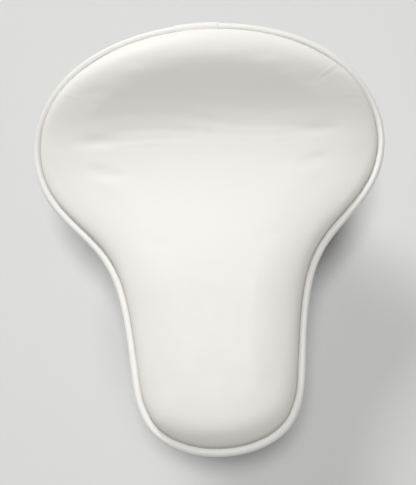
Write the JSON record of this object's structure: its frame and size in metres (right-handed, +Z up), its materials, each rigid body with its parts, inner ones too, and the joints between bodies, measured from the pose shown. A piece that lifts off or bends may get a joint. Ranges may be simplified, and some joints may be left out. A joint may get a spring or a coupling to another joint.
{
  "type": "bicycle saddle",
  "caption": "Wide padded cruiser saddle with a white vinyl cover and piped edge, on coil springs and a wire frame, with a seatpost clamp.",
  "frame": {"origin": "middle of the seatpost clamp's bore, on the seatpost's axis", "axes": "+Z up along the seatpost, -Y towards the saddle's nose, +Y towards the rear, +X across"},
  "size_m": [0.2502, 0.2915, 0.1364],
  "materials": {
    "vinyl": "matte white vinyl with a fine grain",
    "foam": "open-cell polyurethane foam",
    "felt": "grey needle felt",
    "pan": "black stoved enamel",
    "wire": "bright chrome plate",
    "spring": "bright chrome plate",
    "bracket": "black stoved enamel",
    "clamp": "satin chrome on forged and pressed steel",
    "zinc": "bright zinc plate",
    "bush": "black nylon"
  },
  "bodies": {
    "post_clamp": {"post_band": "clamp"},
    "clamp_cheeks": {"inner_cheek_left": "clamp", "inner_cheek_right": "clamp", "outer_cheek_left": "clamp", "outer_cheek_right": "clamp", "clamp_bolt": "zinc", "clamp_nuts": "zinc", "clamp_washers": "zinc"},
    "under_frame": {"frame_wire": "wire", "rear_tie_bar": "wire", "lower_spring_cup_left": "wire", "lower_spring_cup_right": "wire", "spring_left": "spring", "spring_right": "spring", "lower_spring_bolts": "zinc", "lower_spring_nuts": "zinc"},
    "seat": {"seat_pan": "pan", "pan_felt": "felt", "foam_pad": "foam", "cover_top": "vinyl", "side_band": "vinyl", "welt_piping": "vinyl", "welt_joint_wrap": "vinyl", "hem_rivets": "zinc", "bracket_rivets": "zinc", "spring_bracket": "bracket", "nose_bracket": "bracket", "nose_bush": "bush", "nose_bracket_screws": "zinc", "nose_bracket_nuts": "zinc", "upper_spring_cup_left": "wire", "upper_spring_cup_right": "wire", "upper_spring_bolts": "zinc", "upper_spring_nuts": "zinc"}
  },
  "joints": [
    {"name": "clamp_tilt", "type": "hinge", "parent": "post_clamp", "child": "clamp_cheeks", "pos_m": [0, 0.02, 0], "axis": [1, 0, 0], "range_deg": [-15, 15]},
    {"name": "rail_slide", "type": "slide", "parent": "clamp_cheeks", "child": "under_frame", "axis": [0, 1, 0], "range_m": [-0.012, 0.012]},
    {"name": "nose_pivot", "type": "hinge", "parent": "under_frame", "child": "seat", "pos_m": [0, -0.118, 0.042], "axis": [-1, 0, 0], "range_deg": [0, 5], "stiffness_Nm_per_rad": 2016, "deforming": ["spring_left", "spring_right"]}
  ]
}
